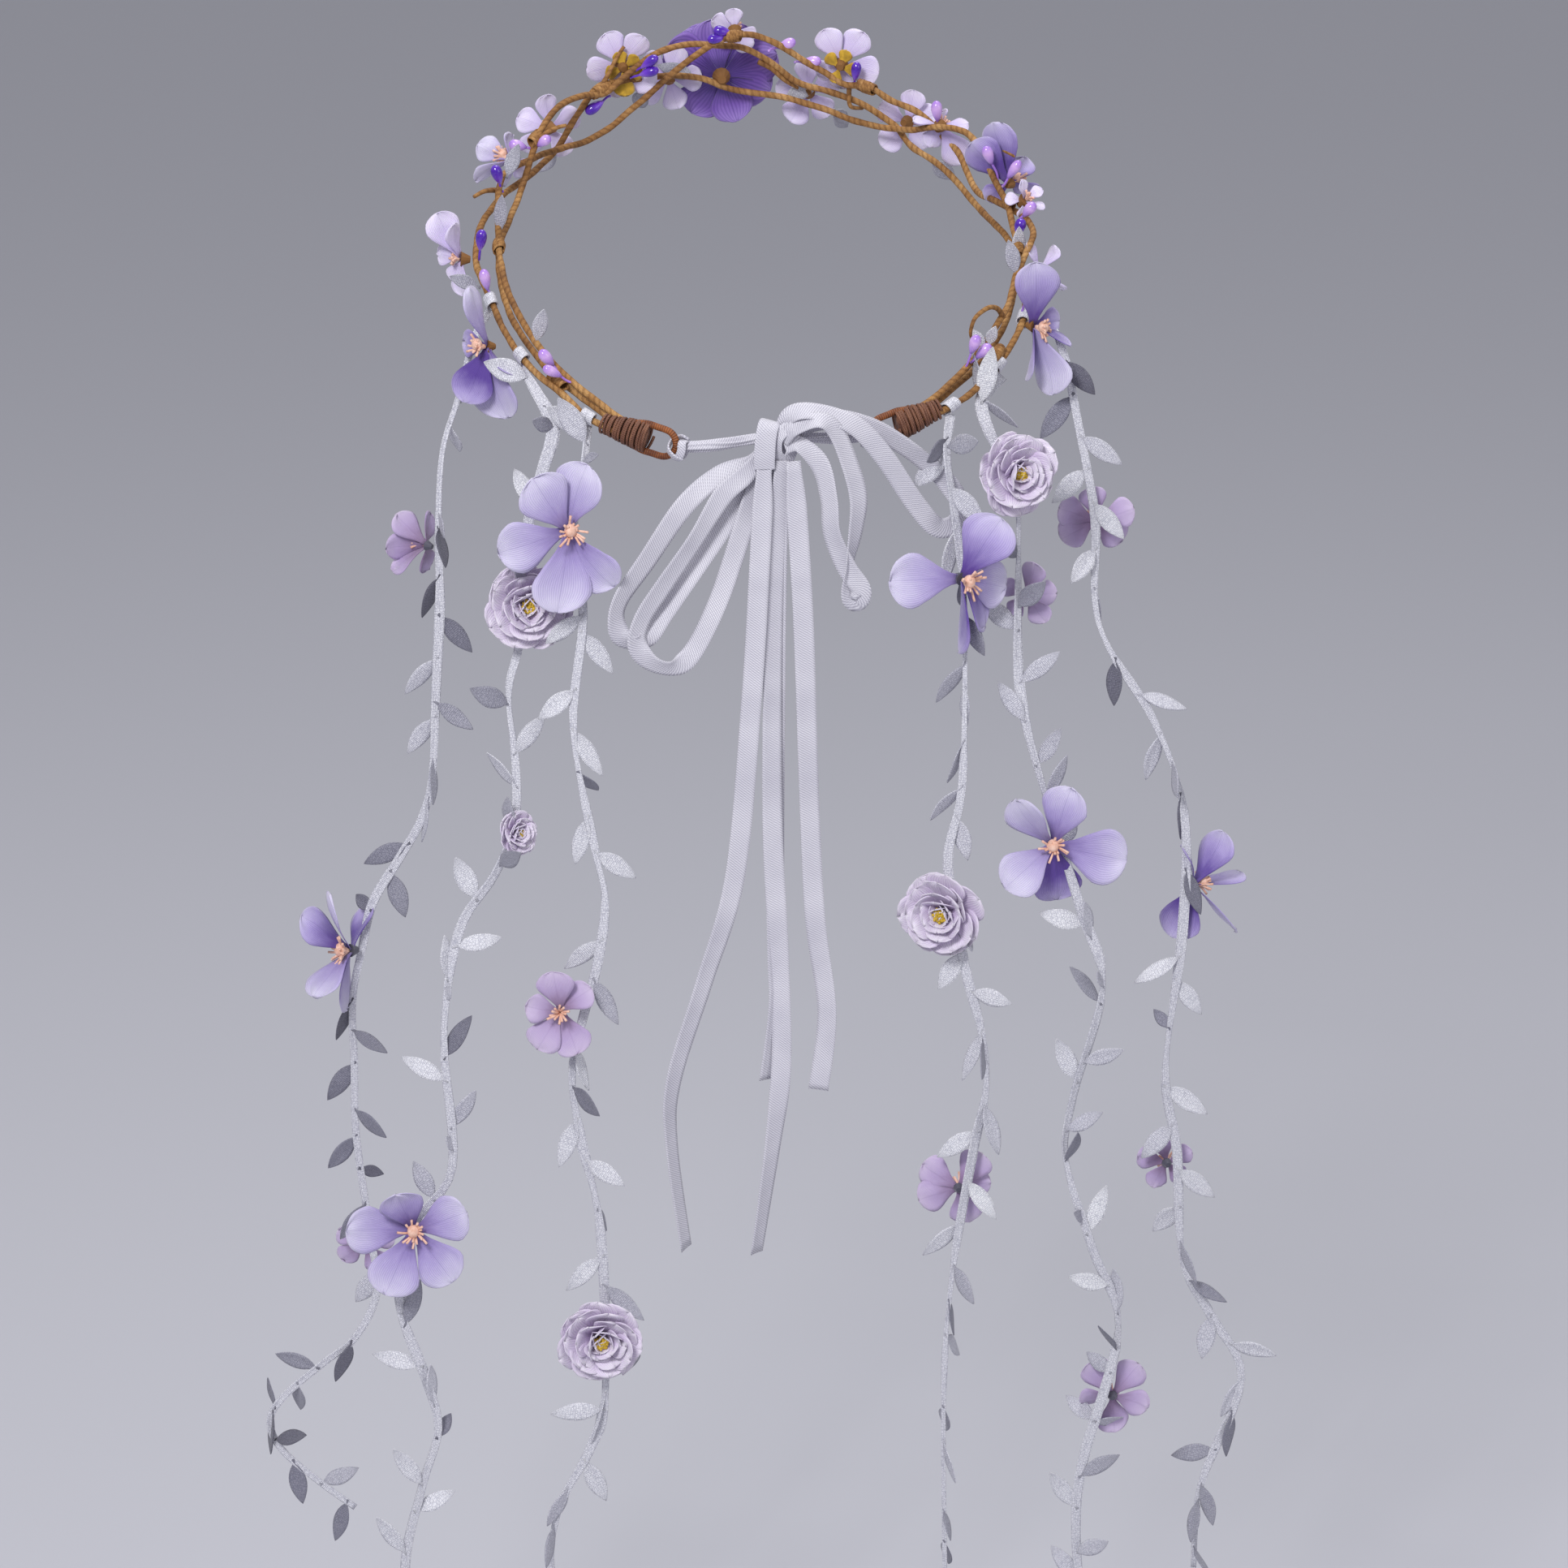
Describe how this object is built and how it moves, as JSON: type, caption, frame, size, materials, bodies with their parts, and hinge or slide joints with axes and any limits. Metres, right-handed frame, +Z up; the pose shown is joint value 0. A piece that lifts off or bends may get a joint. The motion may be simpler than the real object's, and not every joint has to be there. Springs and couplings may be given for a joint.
{
  "type": "flower crown",
  "caption": "Open hoop of twined wrapped wires with cloth flowers and buds, tied at the back with a ribbon bow, and hung with long leaf-vine garlands.",
  "frame": {"origin": "centre of the hoop, where the head sits", "axes": "+X is the wearer's right, +Y is the wearer's forward, +Z is up as worn; the hoop's front is lifted 33 degrees"},
  "size_m": [0.3753, 0.2011, 0.5954],
  "materials": {
    "twig": "crinkled paper wrap",
    "eye_wire": "thread-wrapped wire",
    "twine": "wound waxed twine",
    "ribbon": "satin",
    "lilac_cloth": "dyed petal cloth",
    "violet_cloth": "dyed petal cloth",
    "pale_lilac": "pressed paper petals",
    "peach": "soft matte",
    "mustard": "pressed felt",
    "bud": "glossy lacquer",
    "silver_cloth": "metallic coated cloth"
  },
  "bodies": {
    "crown": {"wire_1": "twig", "wire_2": "twig", "wire_3": "twig", "wire_knots": "twig", "wire_sprigs": "twig", "eye_left": "eye_wire", "eye_right": "eye_wire", "binding_left": "twine", "binding_right": "twine", "hitch_left": "ribbon", "hitch_right": "ribbon", "ribbon_left": "ribbon", "ribbon_right": "ribbon", "bow_knot": "ribbon", "loop_left_outer": "ribbon", "loop_left_inner": "ribbon", "loop_right_long": "ribbon", "loop_right_short": "ribbon", "crown_large": "lilac_cloth", "crown_large_stamens": "peach", "crown_front_flower": "violet_cloth", "crown_small": "lilac_cloth", "crown_sepals": "mustard", "crown_buds": "bud", "crown_leaves": "silver_cloth"},
    "ribbon_tails": {"tail_1": "ribbon", "tail_2": "ribbon", "tail_3": "ribbon", "tail_4": "ribbon"},
    "garland_l1": {"tie_l1": "silver_cloth", "stem_l1": "silver_cloth", "leaves_l1": "silver_cloth", "large_l1": "lilac_cloth", "small_l1": "pale_lilac"},
    "garland_l2": {"tie_l2": "silver_cloth", "stem_l2": "silver_cloth", "leaves_l2": "silver_cloth", "large_l2": "lilac_cloth", "small_l2": "pale_lilac"},
    "garland_l3": {"tie_l3": "silver_cloth", "stem_l3": "silver_cloth", "leaves_l3": "silver_cloth", "large_l3": "lilac_cloth", "small_l3": "pale_lilac"},
    "garland_r1": {"tie_r1": "silver_cloth", "stem_r1": "silver_cloth", "leaves_r1": "silver_cloth", "large_r1": "lilac_cloth", "small_r1": "pale_lilac"},
    "garland_r2": {"tie_r2": "silver_cloth", "stem_r2": "silver_cloth", "leaves_r2": "silver_cloth", "large_r2": "lilac_cloth", "small_r2": "pale_lilac"},
    "garland_r3": {"tie_r3": "silver_cloth", "stem_r3": "silver_cloth", "leaves_r3": "silver_cloth", "large_r3": "lilac_cloth", "small_r3": "pale_lilac"}
  },
  "joints": [
    {"name": "swing_l1", "type": "hinge", "parent": "crown", "child": "garland_l1", "pos_m": [-0.09451, -0.01905, -0.01237], "axis": [-0.2165, 0.8188, 0.5317], "range_deg": [0, 30]},
    {"name": "swing_l2", "type": "hinge", "parent": "crown", "child": "garland_l2", "pos_m": [-0.08484, -0.04107, -0.02667], "axis": [-0.4699, 0.7403, 0.4808], "range_deg": [0, 30]},
    {"name": "swing_l3", "type": "hinge", "parent": "crown", "child": "garland_l3", "pos_m": [-0.06298, -0.06166, -0.04362], "axis": [-0.7413, 0.5629, 0.3656], "range_deg": [0, 30]},
    {"name": "swing_r1", "type": "hinge", "parent": "crown", "child": "garland_r1", "pos_m": [0.06171, -0.06425, -0.04172], "axis": [-0.7529, -0.5519, -0.3584], "range_deg": [0, 30]},
    {"name": "swing_r2", "type": "hinge", "parent": "crown", "child": "garland_r2", "pos_m": [0.07946, -0.04859, -0.03155], "axis": [-0.558, -0.6959, -0.452], "range_deg": [0, 30]},
    {"name": "swing_r3", "type": "hinge", "parent": "crown", "child": "garland_r3", "pos_m": [0.09115, -0.02897, -0.01881], "axis": [-0.33, -0.7917, -0.5141], "range_deg": [0, 30]},
    {"name": "swing_tails", "type": "hinge", "parent": "crown", "child": "ribbon_tails", "pos_m": [0, -0.0832, -0.0552], "axis": [-1, 0, 0], "range_deg": [0, 30]}
  ]
}
